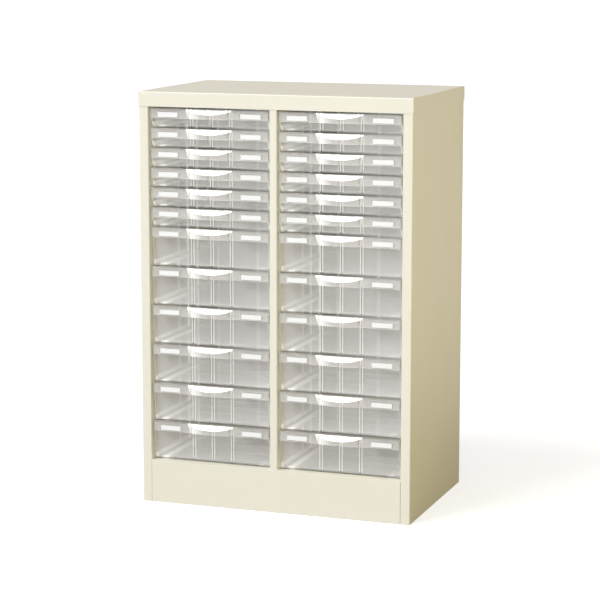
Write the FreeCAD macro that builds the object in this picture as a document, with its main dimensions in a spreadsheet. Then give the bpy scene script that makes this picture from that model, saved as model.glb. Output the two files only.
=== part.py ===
import FreeCAD, Part
import os
import re
import Sketcher

# Two-column steel floor cabinet with clear moulded drawers.
# A folded sheet-steel carcass holds six shallow and six deep drawers in each column. The drawers run
# on folded ledges and are pulled by a bowed lip moulded into each header.
# The frame is +Z up, the front faces -Y, and the origin is at the bottom centre of the whole cabinet.
# All lengths are millimetres.

doc = FreeCAD.newDocument("DrawerCabinet")

# Driving sizes
DRIVING_SIZES = {
    # Carcass, outside
    "cabinet_width": 600,
    "cabinet_depth": 385,
    "cabinet_height": 880,
    "skirt_height": 31,
    "kick_height": 92,
    "pillar_width": 20.5,
    "pillar_return": 16,
    "mullion_width": 16,
    # Carcass, sheet work
    "sheet_steel": 1,
    "bend_radius": 2,
    "rear_flange": 15,
    "fold_width": 12,
    "seam": 0.3,
    # Drawer stack
    "shallow_rows": 6,
    "deep_rows": 6,
    "deep_pitch_share": 2,
    "shelf_gap": 3.5,
    "tray_gap": 3,
    "tray_side_gap": 4.25,
    "header_setback": 3.5,
    "rear_room": 5,
    # Drawer moulding
    "tray_wall": 2.2,
    "tray_corner": 6,
    "tray_chamfer": 2,
    "header_height": 20.5,
    "header_overhang": 15,
    "lip_reach": 4,
    "lip_thickness": 2.5,
    "rib_width": 4.5,
    "rib_rise": 1,
    "rib_spacing": 43.7,
    # Bowed pull in the header
    "bow_top_width": 102.6,
    "bow_bottom_width": 88,
    "bow_reach": 7.5,
    "bow_step": 1.6,
    "bow_drop": 11.4,
    # Label pockets and cards
    "card_width": 45,
    "card_height": 10,
    "card_thickness": 0.4,
    "card_inset": 16,
    "card_drop": 8,
    "pocket_depth": 0.9,
    "pocket_end": 3,
    "pocket_edge": 1.5,
    # Runner racks
    "rack_steel": 1,
    "ledge_reach": 8,
    "ledge_leg": 6,
    "running_gap": 0.3,
}

# Sizes and places worked out from the driving sizes
WORKED_SIZES = {
    # Across the cabinet, from its middle
    "body_half": "cabinet_width / 2 - sheet_steel",
    "body_inner": "body_half - sheet_steel",
    "opening_edge": "body_half - pillar_width",
    "mullion_half": "mullion_width / 2",
    "column_centre": "(opening_edge + mullion_half) / 2",
    "tray_half": "(opening_edge - mullion_half) / 2 - tray_side_gap",
    # From front to back
    "pull_proud": "bow_reach - header_setback - sheet_steel",
    "cap_front": "(pull_proud - cabinet_depth) / 2",
    "cap_rear": "cap_front + cabinet_depth",
    "body_front": "cap_front + sheet_steel",
    "body_rear": "cap_rear - sheet_steel",
    "back_front": "body_rear - 2 * sheet_steel",
    "header_front": "body_front + header_setback",
    "tray_length": "back_front - rear_room - header_front",
    "rack_front": "body_front + pillar_return + seam",
    "back_half": "body_inner - (bend_radius - sheet_steel) - seam",
    # Up the cabinet
    "panel_top": "cabinet_height - sheet_steel",
    "opening_top": "cabinet_height - skirt_height",
    "stack_bottom": "kick_height + shelf_gap",
    "stack_height": "opening_top - shelf_gap - stack_bottom + tray_gap",
    "shallow_pitch": "stack_height / (shallow_rows + deep_pitch_share * deep_rows)",
    "deep_pitch": "deep_pitch_share * shallow_pitch",
    "shallow_height": "shallow_pitch - tray_gap",
    "deep_height": "deep_pitch - tray_gap",
    "shallow_bottom": "stack_bottom + deep_rows * deep_pitch",
    # Bowed pull: a cylinder on end, cut by a sloping facet
    "bow_half": "bow_top_width / 2",
    "bow_foot": "bow_bottom_width / 2",
    "bow_rise": "bow_reach - bow_step",
    "bow_radius": "(bow_half ^ 2 + bow_rise ^ 2) / (2 * bow_rise)",
    "facet_slope_share": "bow_drop / bow_reach",
    "facet_length_share": "sqrt(1 + facet_slope_share ^ 2)",
    "end_slope_share": "(bow_half - bow_foot) / header_height",
    "end_length_share": "sqrt(1 + end_slope_share ^ 2)",
}


def sized(text):
    """Write each named size in the text as the sheet cell that holds it."""
    def cell(found):
        word = found.group()
        if word in DRIVING_SIZES:
            return "Sizes." + word
        if word in WORKED_SIZES:
            return "Worked." + word
        return word
    return re.sub(r"[a-z_]+", cell, text)


def fill_sheet(name, entries):
    """Make a sheet with one named cell for each entry."""
    sheet = doc.addObject("Spreadsheet::Sheet", name)
    for row, (alias, text) in enumerate(entries.items(), start=1):
        sheet.set("A" + str(row), alias)
        sheet.set("B" + str(row), text)
        sheet.setAlias("B" + str(row), alias)
    return sheet


fill_sheet("Sizes", {alias: str(number) for alias, number in DRIVING_SIZES.items()})
worked = fill_sheet("Worked", {alias: "=" + sized(text) for alias, text in WORKED_SIZES.items()})
doc.recompute()


def value(text):
    """Work out an expression in named sizes."""
    return float(worked.evalExpression(sized(text)))


# Sketches and features

PLANES = {"XY": "XY_Plane", "XZ": "XZ_Plane", "YZ": "YZ_Plane"}
SAME_PLACE = value("seam") / 10


def origin_feature(body, role):
    """Find one of a body's own origin planes or axes."""
    return next(item for item in body.Origin.OriginFeatures if item.Role == role)


def draw(body, name, plane, outlines, lift):
    """Sketch closed outlines of straight edges, every corner bound to the sheet."""
    sketch = body.newObject("Sketcher::SketchObject", name)
    sketch.AttachmentSupport = (origin_feature(body, PLANES[plane]), [""])
    sketch.MapMode = "FlatFace"
    sketch.setExpression("AttachmentOffset.Base.z", sized(lift))
    for corners in outlines:
        points = [FreeCAD.Vector(value(across), value(along), 0) for across, along in corners]
        first = sketch.GeometryCount
        for start, end in zip(points, points[1:] + points[:1]):
            sketch.addGeometry(Part.LineSegment(start, end), False)
        for step, (across, along) in enumerate(corners):
            line = first + step
            following = first + (step + 1) % len(corners)
            sketch.addConstraint(Sketcher.Constraint("Coincident", line, 2, following, 1))
            for kind, text in (("DistanceX", across), ("DistanceY", along)):
                number = sketch.addConstraint(Sketcher.Constraint(kind, -1, 1, line, 1, value(text)))
                sketch.setExpression("Constraints[" + str(number) + "]", sized(text))
    return sketch


def pad(body, name, plane, outlines, low, high):
    """Add a prism on the outlines, from low to high along the axis that crosses the plane."""
    lift = "-(" + high + ")" if plane == "XZ" else low
    feature = body.newObject("PartDesign::Pad", name)
    feature.Profile = draw(body, name + "Sketch", plane, outlines, lift)
    feature.setExpression("Length", sized("(" + high + ") - (" + low + ")"))
    body.Tip = feature
    doc.recompute()
    return feature


def pocket(body, name, plane, outlines, low, high):
    """Cut a prism on the outlines, from low to high along the axis that crosses the plane."""
    lift = "-(" + low + ")" if plane == "XZ" else high
    before = body.Shape.Volume
    feature = body.newObject("PartDesign::Pocket", name)
    feature.Profile = draw(body, name + "Sketch", plane, outlines, lift)
    feature.setExpression("Length", sized("(" + high + ") - (" + low + ")"))
    body.Tip = feature
    doc.recompute()
    if body.Shape.Volume >= before:
        raise RuntimeError(body.Label + ": " + name + " cut nothing")
    return feature


def find_edges(body, name, axes, spots):
    """Name the straight edges that run past the spots; a spot gives the two places off each edge."""
    wanted = []
    targets = [[value(text) for text in spot] for spot in spots]
    for number, edge in enumerate(body.Shape.Edges, start=1):
        ends = [edge.Vertexes[0].Point, edge.Vertexes[-1].Point]
        for target in targets:
            offs = [abs(getattr(end, axis) - place) for end in ends for axis, place in zip(axes, target)]
            if len(edge.Vertexes) > 1 and max(offs) < SAME_PLACE:
                wanted.append("Edge" + str(number))
    if len(wanted) < len(spots):
        raise RuntimeError(body.Label + ": " + name + " found too few edges")
    return wanted


def dress_edges(body, name, kind, size_name, size, wanted):
    """Put a fillet or a chamfer on the edges, with its one size bound to the sheet."""
    before = body.Tip
    feature = body.newObject(kind, name)
    feature.Base = (before, wanted)
    feature.setExpression(size_name, sized(size))
    body.Tip = feature
    doc.recompute()
    return feature


def round_edges(body, name, axes, spots, radius):
    wanted = find_edges(body, name, axes, spots)
    return dress_edges(body, name, "PartDesign::Fillet", "Radius", radius, wanted)


def chamfer_edges(body, name, axes, spots, size):
    """Chamfer the edges past the spots, and those that run on smoothly from them."""
    wanted = find_edges(body, name, axes, spots)
    return dress_edges(body, name, "PartDesign::Chamfer", "Size", size, wanted)


def repeat(body, name, original, rows, pitch):
    """Repeat a feature upwards, once for each row."""
    feature = body.newObject("PartDesign::LinearPattern", name)
    feature.Originals = [original]
    feature.Direction = (origin_feature(body, "Z_Axis"), [""])
    feature.Occurrences = int(value(rows))
    feature.setExpression("Length", sized("(" + rows + " - 1) * " + pitch))
    body.Tip = feature
    doc.recompute()
    return feature


def rectangle(left, right, near, far):
    """The four corners between two places across and two places along."""
    return [(left, near), (right, near), (right, far), (left, far)]


def mirrored(side, corners):
    """Put an outline drawn for the right-hand side on the side asked for."""
    if side > 0:
        return corners
    return [("-(" + across + ")", along) for across, along in reversed(corners)]


def new_body(label):
    body = doc.addObject("PartDesign::Body", label)
    body.Label = label
    return body


parts = []


# Top cap: a shallow folded pan whose skirt closes over the panels

def make_top_cap():
    body = new_body("top_cap")
    half = "cabinet_width / 2"
    outside = rectangle("-" + half, half, "cap_front", "cap_rear")
    inside = rectangle("-body_half", "body_half", "body_front", "body_rear")
    pad(body, "Block", "XY", [outside], "opening_top", "cabinet_height")
    long_bends = [(y, "cabinet_height") for y in ("cap_front", "cap_rear")]
    round_edges(body, "LongBends", "yz", long_bends, "bend_radius")
    pocket(body, "Inside", "XY", [inside], "opening_top", "panel_top")
    return body


# Side panels: one sheet folded into the front pillar, its return and the rear flange

def make_side_panel(label, side):
    body = new_body(label)
    outline = [
        ("opening_edge", "body_front"),
        ("body_half", "body_front"),
        ("body_half", "body_rear"),
        ("body_half - rear_flange", "body_rear"),
        ("body_half - rear_flange", "body_rear - sheet_steel"),
        ("body_inner", "body_rear - sheet_steel"),
        ("body_inner", "body_front + sheet_steel"),
        ("opening_edge + sheet_steel", "body_front + sheet_steel"),
        ("opening_edge + sheet_steel", "body_front + pillar_return"),
        ("opening_edge", "body_front + pillar_return"),
    ]
    outline = mirrored(side, outline)
    pad(body, "Sheet", "XY", [outline], "0", "panel_top")
    outer_bends = mirrored(side, [
        ("opening_edge", "body_front"),
        ("body_half", "body_front"),
        ("body_half", "body_rear"),
    ])
    inner_bends = mirrored(side, [
        ("body_inner", "body_rear - sheet_steel"),
        ("body_inner", "body_front + sheet_steel"),
        ("opening_edge + sheet_steel", "body_front + sheet_steel"),
    ])
    round_edges(body, "OuterBends", "xy", outer_bends, "bend_radius")
    round_edges(body, "InnerBends", "xy", inner_bends, "bend_radius - sheet_steel")
    return body


# Back panel: a flat sheet with its top and bottom edges folded forward, clear of the side panels' bends

def make_back_panel():
    body = new_body("back_panel")
    fold = "back_front - fold_width"
    outline = [
        (fold, "0"),
        ("back_front + sheet_steel", "0"),
        ("back_front + sheet_steel", "panel_top"),
        (fold, "panel_top"),
        (fold, "panel_top - sheet_steel"),
        ("back_front", "panel_top - sheet_steel"),
        ("back_front", "sheet_steel"),
        (fold, "sheet_steel"),
    ]
    pad(body, "Sheet", "YZ", [outline], "-back_half", "back_half")
    return body


# Centre partition: a folded channel that shows as the mullion

def make_centre_partition():
    body = new_body("centre_partition")
    skin = "mullion_half - sheet_steel"
    outline = [
        ("-mullion_half", "body_front"),
        ("mullion_half", "body_front"),
        ("mullion_half", "back_front"),
        (skin, "back_front"),
        (skin, "body_front + sheet_steel"),
        ("-(" + skin + ")", "body_front + sheet_steel"),
        ("-(" + skin + ")", "back_front"),
        ("-mullion_half", "back_front"),
    ]
    pad(body, "Channel", "XY", [outline], "kick_height", "panel_top - sheet_steel")
    bends = [("-mullion_half", "body_front"), ("mullion_half", "body_front")]
    round_edges(body, "Bends", "xy", bends, "bend_radius")
    return body


# Base shelf: a sheet notched round the pillar returns, with its edges folded down

def make_base_shelf():
    body = new_body("base_shelf")
    nose = "opening_edge - seam"
    outline = [
        ("-(" + nose + ")", "body_front"),
        (nose, "body_front"),
        (nose, "rack_front"),
        ("body_inner", "rack_front"),
        ("body_inner", "back_front"),
        ("-body_inner", "back_front"),
        ("-body_inner", "rack_front"),
        ("-(" + nose + ")", "rack_front"),
    ]
    flange = "body_inner - sheet_steel"
    edges = [
        ("-body_inner", "rack_front"),
        ("-(" + flange + ")", "rack_front"),
        ("-(" + flange + ")", "back_front - sheet_steel"),
        (flange, "back_front - sheet_steel"),
        (flange, "rack_front"),
        ("body_inner", "rack_front"),
        ("body_inner", "back_front"),
        ("-body_inner", "back_front"),
    ]
    pad(body, "Sheet", "XY", [outline], "kick_height - sheet_steel", "kick_height")
    pad(body, "Edges", "XY", [edges], "kick_height - fold_width", "kick_height - sheet_steel")
    return body


# Kick plate: folded top and bottom, with end flanges against the pillar returns

def make_kick_plate():
    body = new_body("kick_plate")
    top = "kick_height - sheet_steel"
    fold = "body_front + fold_width"
    outline = [
        ("body_front", "0"),
        (fold, "0"),
        (fold, "sheet_steel"),
        ("body_front + sheet_steel", "sheet_steel"),
        ("body_front + sheet_steel", top + " - sheet_steel"),
        (fold, top + " - sheet_steel"),
        (fold, top),
        ("body_front", top),
    ]
    end = "opening_edge - seam"
    flange = end + " - sheet_steel"
    ends = [
        rectangle(flange, end, "body_front + sheet_steel", fold),
        rectangle("-(" + end + ")", "-(" + flange + ")", "body_front + sheet_steel", fold),
    ]
    pad(body, "Sheet", "YZ", [outline], "-(" + end + ")", end)
    pad(body, "Ends", "XY", ends, "sheet_steel", top + " - sheet_steel")
    round_edges(body, "TopBend", "yz", [("body_front", top)], "bend_radius / 2")
    return body


# Runner racks: a web with an angle ledge spot-welded to it for each drawer

def make_rack(label, side, web_outline, face, leg, tip):
    """Each ledge is an angle: its leg stands from the web's face to leg, and its shelf reaches to tip."""
    web = new_body(label + "_web")
    pad(web, "Web", "XY", [mirrored(side, web_outline)], "kick_height", "opening_top")
    ledges = new_body(label + "_ledges")
    ledges.AllowCompound = True
    for name, bottom, rows, pitch in (
        ("DeepLedge", "stack_bottom", "deep_rows", "deep_pitch"),
        ("ShallowLedge", "shallow_bottom", "shallow_rows", "shallow_pitch"),
    ):
        top = bottom + " - running_gap"
        outline = [
            (face, top + " - rack_steel"),
            (tip, top + " - rack_steel"),
            (tip, top),
            (leg, top),
            (leg, top + " + ledge_leg"),
            (face, top + " + ledge_leg"),
        ]
        ledge = pad(ledges, name, "XZ", [mirrored(side, outline)], "rack_front", "back_front")
        repeat(ledges, name + "Rows", ledge, rows, pitch)
    rack = doc.addObject("Part::Compound", label)
    rack.Label = label
    rack.Links = [web, ledges]
    return rack


def make_outer_rack(label, side):
    """Its web is a channel that stands off the side panel, level with the pillar's inner edge."""
    web = "opening_edge + rack_steel"
    channel = [
        ("opening_edge", "rack_front"),
        ("body_inner", "rack_front"),
        ("body_inner", "rack_front + rack_steel"),
        (web, "rack_front + rack_steel"),
        (web, "back_front - rack_steel"),
        ("body_inner", "back_front - rack_steel"),
        ("body_inner", "back_front"),
        ("opening_edge", "back_front"),
    ]
    leg = "opening_edge - rack_steel"
    tip = "opening_edge - tray_side_gap - ledge_reach"
    return make_rack(label, side, channel, "opening_edge", leg, tip)


def make_inner_rack(label, side):
    """Its web is a flat plate on the partition's skin."""
    face = "mullion_half + rack_steel"
    plate = rectangle("mullion_half", face, "rack_front", "back_front")
    tip = "mullion_half + tray_side_gap + ledge_reach"
    return make_rack(label, side, plate, face, face + " + rack_steel", tip)


# Drawer mouldings

def make_tub(label, height):
    """The open box of a drawer with its header, bottom lip, front ribs and label pockets."""
    body = new_body(label)
    inner = "tray_half - tray_wall"
    rear = "tray_length - tray_wall"
    skirt = "(" + height + ") - header_height"
    web = "(" + height + ") - tray_wall"
    box = rectangle("-tray_half", "tray_half", "header_overhang", "tray_length")
    hollow = rectangle("-(" + inner + ")", inner, "header_overhang + tray_wall", rear)
    header = rectangle("-tray_half", "tray_half", "0", "header_overhang")
    finger_space = rectangle("-(" + inner + ")", inner, "tray_wall", "header_overhang")
    lip = rectangle("-tray_half", "tray_half", "header_overhang - lip_reach", "header_overhang")
    ribs = []
    for middle in ("-rib_spacing", "0", "rib_spacing"):
        left = middle + " - rib_width / 2"
        right = middle + " + rib_width / 2"
        ribs.append(rectangle(left, right, "header_overhang - rib_rise", "header_overhang"))
    pad(body, "Box", "XY", [box], "0", height)
    rear_corners = [("-tray_half", "tray_length"), ("tray_half", "tray_length")]
    round_edges(body, "RearCorners", "xy", rear_corners, "tray_corner")
    bottom_edges = [("-tray_half", "0"), ("tray_half", "0")]
    chamfer_edges(body, "BottomEdges", "xz", bottom_edges, "tray_chamfer")
    pocket(body, "Hollow", "XY", [hollow], "tray_wall", height)
    inner_corners = [("-(" + inner + ")", rear), (inner, rear)]
    round_edges(body, "InnerCorners", "xy", inner_corners, "tray_corner - tray_wall")
    pad(body, "Header", "XY", [header], skirt, height)
    pocket(body, "FingerSpace", "XY", [finger_space], skirt, web)
    pad(body, "Lip", "XY", [lip], "0", "lip_thickness")
    pad(body, "Ribs", "XY", ribs, "0", web)
    card_outer = "tray_half - card_inset + pocket_end"
    card_inner = "tray_half - card_inset - card_width - pocket_end"
    low = "(" + height + ") - card_drop - card_height - pocket_edge"
    high = "(" + height + ") - card_drop + pocket_edge"
    label_pockets = [
        rectangle(card_inner, card_outer, low, high),
        rectangle("-(" + card_outer + ")", "-(" + card_inner + ")", low, high),
    ]
    pocket(body, "LabelPockets", "XZ", label_pockets, "0", "pocket_depth")
    return body


def make_bow(label, height, inset):
    """The bowed pull: an upright cylinder, a sloping facet and two slanted ends meet in one solid.

    The inset moves every face inwards by a wall, for the hollow behind the pull."""
    top = "(" + height + ")"
    bottom = top + " - header_height"
    curve = doc.addObject("Part::Cylinder", label + "Curve")
    curve.setExpression("Radius", sized("bow_radius - " + inset))
    curve.setExpression("Height", sized("header_height"))
    curve.setExpression("Placement.Base.y", sized("bow_radius - bow_reach"))
    curve.setExpression("Placement.Base.z", sized(bottom))
    facet_start = inset + " * (facet_length_share - 1) / facet_slope_share"
    facet_end = "bow_reach + header_overhang"
    facet_depth = "(" + facet_end + ") * facet_slope_share + " + inset + " * facet_length_share"
    side_view = new_body(label + "SideView")
    slope = [
        (inset, top + " - " + inset),
        ("-(" + facet_start + ")", top + " - " + inset),
        ("-(" + facet_end + ")", top + " - (" + facet_depth + ")"),
        (inset, top + " - (" + facet_depth + ")"),
    ]
    if inset == "0":
        slope.pop(1)
    pad(side_view, "Facet", "YZ", [slope], "-tray_half", "tray_half")
    front_view = new_body(label + "FrontView")
    end_top = "bow_half - " + inset + " * end_length_share"
    end_bottom = "bow_foot - " + inset + " * end_length_share"
    ends = [
        ("-(" + end_top + ")", top),
        ("-(" + end_bottom + ")", bottom),
        (end_bottom, bottom),
        (end_top, top),
    ]
    pad(front_view, "Ends", "XZ", [ends], "-header_overhang", "header_overhang")
    bow = doc.addObject("Part::MultiCommon", label)
    bow.Shapes = [curve, side_view, front_view]
    return bow


def make_mould(label, height):
    """One drawer as it leaves the mould: origin at its bottom, in the middle of the header's front."""
    tub = make_tub(label + "Tub", height)
    outside = make_bow(label + "BowOutside", height, "0")
    inside = make_bow(label + "BowInside", height, "tray_wall")
    solid = doc.addObject("Part::MultiFuse", label + "Solid")
    solid.Shapes = [tub, outside]
    mould = doc.addObject("Part::Cut", label)
    mould.Base = solid
    mould.Tool = inside
    mould.Refine = True
    doc.recompute()
    return mould


def make_card(label, side):
    """One label card, placed from the header's top edge."""
    card = doc.addObject("Part::Box", label)
    card.setExpression("Length", sized("card_width"))
    card.setExpression("Width", sized("card_thickness"))
    card.setExpression("Height", sized("card_height"))
    left = "tray_half - card_inset - card_width" if side > 0 else "card_inset - tray_half"
    card.setExpression("Placement.Base.x", sized(left))
    card.setExpression("Placement.Base.y", sized("pocket_depth - card_thickness"))
    card.setExpression("Placement.Base.z", sized("-card_drop - card_height"))
    return card


def put(item, across, along, up):
    """Bind where a piece stands in the cabinet."""
    for axis, text in (("x", across), ("y", along), ("z", up)):
        item.setExpression("Placement.Base." + axis, sized(text))


# Carcass

parts.append(make_top_cap())
parts.append(make_side_panel("left_side_panel", -1))
parts.append(make_side_panel("right_side_panel", 1))
parts.append(make_back_panel())
parts.append(make_centre_partition())
parts.append(make_base_shelf())
parts.append(make_kick_plate())
for column, side in (("left", -1), ("right", 1)):
    parts.append(make_outer_rack("runner_rack_" + column + "_outer", side))
    parts.append(make_inner_rack("runner_rack_" + column + "_inner", side))

# Drawers, numbered from the top of each column

shallow_mould = make_mould("ShallowTray", "shallow_height")
deep_mould = make_mould("DeepTray", "deep_height")
card_pair = [make_card("LeftCard", -1), make_card("RightCard", 1)]
shallow_rows = int(value("shallow_rows"))
rows = shallow_rows + int(value("deep_rows"))

for column, middle in (("left", "-column_centre"), ("right", "column_centre")):
    for row in range(1, rows + 1):
        if row <= shallow_rows:
            mould, height = shallow_mould, "shallow_height"
            bottom = "shallow_bottom + (shallow_rows - " + str(row) + ") * shallow_pitch"
        else:
            mould, height = deep_mould, "deep_height"
            bottom = "stack_bottom + (shallow_rows + deep_rows - " + str(row) + ") * deep_pitch"
        number = column + "_" + str(row).zfill(2)
        tray = new_body("tray_" + number)
        tray.BaseFeature = mould
        put(tray, middle, "header_front", bottom)
        parts.append(tray)
        cards = doc.addObject("Part::Compound", "label_cards_" + number)
        cards.Label = "label_cards_" + number
        cards.Links = card_pair
        put(cards, middle, "header_front", bottom + " + " + height)
        parts.append(cards)

doc.recompute()

# Checks, then one file for each piece

for item in doc.Objects:
    if "Invalid" in item.State or "Error" in item.State:
        raise RuntimeError(item.Label + " failed: " + ", ".join(item.State))
for part in parts:
    if part.Shape.isNull() or not part.Shape.isValid():
        raise RuntimeError(part.Label + " has no valid shape")

os.makedirs("parts", exist_ok=True)
for part in parts:
    part.Shape.exportStep(os.path.join("parts", part.Label + ".step"))
    print(part.Label, len(part.Shape.Solids), "solid,", round(part.Shape.Volume), "cubic mm")
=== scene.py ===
# %% [markdown]
# # A steel floor cabinet with clear drawers
#
# Judged from one photograph, the cabinet is a box of folded sheet steel, finished in ivory powder coat. Two
# columns of clear moulded drawers slide in it, on steel ledges that hardly show. This lesson dresses the fixed
# construction model with surfaces and finishes. Its pieces keep the construction model's places, and every
# length is in metres.

# %% Load the fixed construction model
import math

import bmesh
import bpy
import numpy as np
from mathutils import Euler, Matrix, Vector


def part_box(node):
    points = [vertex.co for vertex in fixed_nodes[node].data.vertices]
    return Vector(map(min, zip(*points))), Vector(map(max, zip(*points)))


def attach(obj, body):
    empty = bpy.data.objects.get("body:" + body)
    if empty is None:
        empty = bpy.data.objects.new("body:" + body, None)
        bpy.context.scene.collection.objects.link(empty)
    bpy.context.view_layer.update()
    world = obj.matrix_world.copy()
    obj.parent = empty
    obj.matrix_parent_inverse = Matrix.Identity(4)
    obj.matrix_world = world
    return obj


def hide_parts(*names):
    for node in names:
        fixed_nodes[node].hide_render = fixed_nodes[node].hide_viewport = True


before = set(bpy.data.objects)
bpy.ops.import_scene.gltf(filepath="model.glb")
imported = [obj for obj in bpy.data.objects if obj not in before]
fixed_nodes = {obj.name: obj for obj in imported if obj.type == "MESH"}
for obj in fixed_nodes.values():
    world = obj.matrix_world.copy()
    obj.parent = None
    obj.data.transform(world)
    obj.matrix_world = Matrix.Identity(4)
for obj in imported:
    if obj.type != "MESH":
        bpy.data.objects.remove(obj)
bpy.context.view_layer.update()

# %% [markdown]
# ## The camera
#
# The photograph was taken from the right of the cabinet's middle and a little above it, with a long lens. The
# camera's place was worked out from seven corners of the cabinet, and it puts each of them within 5 pixels of
# where the photograph has it. It can hardly do better: the photograph's upright lines are parallel, as a
# shifted lens draws them, and this camera is tilted down instead. A long lens far away keeps them nearly
# upright.

# %% Camera
SENSOR = 0.036
PHOTO_SIDE = 600
FOCAL_PIXELS = 2149.3
camera_place = Vector((1.532, -4.3136, 1.1985))
camera_turn = Euler((math.radians(90 - 9.599), 0, math.radians(19.657)))

camera_data = bpy.data.cameras.new("camera")
camera_data.sensor_width = SENSOR * 1000
camera_data.lens = FOCAL_PIXELS / PHOTO_SIDE * SENSOR * 1000
camera = bpy.data.objects.new("camera", camera_data)
camera.location = camera_place
camera.rotation_euler = camera_turn
bpy.context.scene.collection.objects.link(camera)
bpy.context.scene.camera = camera
print("lens, mm:", round(camera_data.lens, 1))

# %% [markdown]
# ## Surfaces from arrays
#
# Every new piece is a grid of points, worked out as a whole array: its first count goes up or along, its second
# goes across or around. A grid becomes a mesh by joining each point to its neighbours. Where a row or a column
# is pinched to one place, its points are doubles: they are merged, and the faces between them vanish. So one
# grid can make a closed form with pockets, ledges and corners in it, with no cutting.

# %% Grid to mesh
WELD = 1e-6


def grid_faces(rows, columns):
    """Quads as point numbers: each takes a point, its neighbour across, the one above that, and the one above.

    The last column's neighbour is the first, so the grid goes all the way round."""
    row = np.arange(rows - 1)[:, None]
    across = np.arange(columns)[None, :]
    following = (across + 1) % columns
    corners = (row * columns + across, row * columns + following,
               (row + 1) * columns + following, (row + 1) * columns + across)
    return np.stack(np.broadcast_arrays(*corners), -1).reshape(-1, 4)


def weld(mesh):
    """Merge the doubles, drop what they pinch away, turn every face outwards and shade it smoothly."""
    work = bmesh.new()
    work.from_mesh(mesh)
    bmesh.ops.remove_doubles(work, verts=work.verts, dist=WELD)
    bmesh.ops.dissolve_degenerate(work, edges=work.edges, dist=WELD)
    bmesh.ops.recalc_face_normals(work, faces=work.faces)
    work.to_mesh(mesh)
    work.free()
    mesh.polygons.foreach_set("use_smooth", np.ones(len(mesh.polygons), bool))


def surface(name, points):
    """A welded mesh on a grid of points, its first and last rows each closed by a flat face."""
    rows, columns = points.shape[:2]
    first_row = np.arange(columns)
    caps = [first_row.tolist(), (first_row + (rows - 1) * columns).tolist()]
    mesh = bpy.data.meshes.new(name)
    mesh.from_pydata(points.reshape(-1, 3).tolist(), [], grid_faces(rows, columns).tolist() + caps)
    weld(mesh)
    return mesh


print("a grid of 3 by 4 points has", len(grid_faces(3, 4)), "faces")

# %% [markdown]
# ## Edges that catch the light
#
# No moulded edge is sharp. A bevel rounds the drawers' edges, and the rounded strip is what shows a line of
# light. The bevel can give its new faces a material of their own, which paints that line as a highlight. Narrow
# faces that already slant, such as a rib's sides, should look the same, so they are picked out by their normals
# and given that material too.

# %% Slanted faces and rounded edges
SHARP_ANGLE = 25
BEVEL_STEPS = 2
FLAT_WEIGHT = 100


def mark_slanted(mesh, least, most, longest, lowest):
    """Give slot 1 to the narrow faces that slant: those whose normal's largest share lies between two limits,
    whose shortest edge is no longer than the given length, and which lie higher than the given level."""
    normals = np.empty(len(mesh.polygons) * 3, np.float32)
    mesh.polygons.foreach_get("normal", normals)
    largest = np.abs(normals.reshape(-1, 3)).max(1)
    places = np.empty(len(mesh.vertices) * 3, np.float32)
    mesh.vertices.foreach_get("co", places)
    places = places.reshape(-1, 3)
    ends = np.empty(len(mesh.edges) * 2, np.int32)
    mesh.edges.foreach_get("vertices", ends)
    lengths = np.linalg.norm(places[ends[::2]] - places[ends[1::2]], axis=1)
    loop_edges = np.empty(len(mesh.loops), np.int32)
    mesh.loops.foreach_get("edge_index", loop_edges)
    starts = np.empty(len(mesh.polygons), np.int32)
    mesh.polygons.foreach_get("loop_start", starts)
    shortest = np.minimum.reduceat(lengths[loop_edges], starts)
    centres = np.empty(len(mesh.polygons) * 3, np.float32)
    mesh.polygons.foreach_get("center", centres)
    slots = (largest > least) & (largest < most) & (shortest < longest) & (centres[2::3] > lowest)
    mesh.polygons.foreach_set("material_index", slots.astype(np.int32))


def finished(mesh, edge_round, edge_slot):
    """The mesh with its sharp edges rounded and its flat faces kept flat in shading, as a new mesh."""
    holder = bpy.data.objects.new(mesh.name + "_holder", mesh)
    bpy.context.scene.collection.objects.link(holder)
    bevel = holder.modifiers.new("round", "BEVEL")
    bevel.width = edge_round
    bevel.segments = BEVEL_STEPS
    bevel.limit_method = "ANGLE"
    bevel.angle_limit = math.radians(SHARP_ANGLE)
    bevel.miter_outer = "MITER_ARC"
    bevel.material = edge_slot
    flat = holder.modifiers.new("flat", "WEIGHTED_NORMAL")
    flat.weight = FLAT_WEIGHT
    graph = bpy.context.evaluated_depsgraph_get()
    made = bpy.data.meshes.new_from_object(holder.evaluated_get(graph))
    bpy.data.objects.remove(holder)
    return made


print("edges sharper than", SHARP_ANGLE, "degrees are rounded in", BEVEL_STEPS, "steps")

# %% A piece in its place


def piece(name, mesh, body, replaced, place=(0, 0, 0)):
    """An object at the origin whose place is in its mesh; it rides on a body and stands for fixed nodes."""
    own = mesh.copy()
    own.name = name
    own.transform(Matrix.Translation(place))
    made = bpy.data.objects.new(name, own)
    bpy.context.scene.collection.objects.link(made)
    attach(made, body)
    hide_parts(*replaced)
    return made


# %% [markdown]
# ## Shared effects
#
# Three effects turn up on both the paint and the plastic, so each is a node group: a fine ripple in the surface,
# soft marks from handling, and dust that settles on whatever faces up. A group puts out only masks and heights,
# and each material decides what to do with them.

# %% Node helpers


def add_node(tree, kind, settings=None, **links):
    """Place a node; the links give sockets by name, each as a value or as another node's output."""
    node = tree.nodes.new(kind)
    for key, value in (settings or {}).items():
        setattr(node, key, value)
    for name, source in links.items():
        connect(tree, node, name, source)
    return node


def connect(tree, node, name, source):
    """Set one socket, found by number when the name is input_N, or else by its words."""
    socket = node.inputs[int(name[6:])] if name.startswith("input_") else node.inputs[name.replace("_", " ")]
    if isinstance(source, bpy.types.NodeSocket):
        tree.links.new(source, socket)
    else:
        socket.default_value = source


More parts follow.
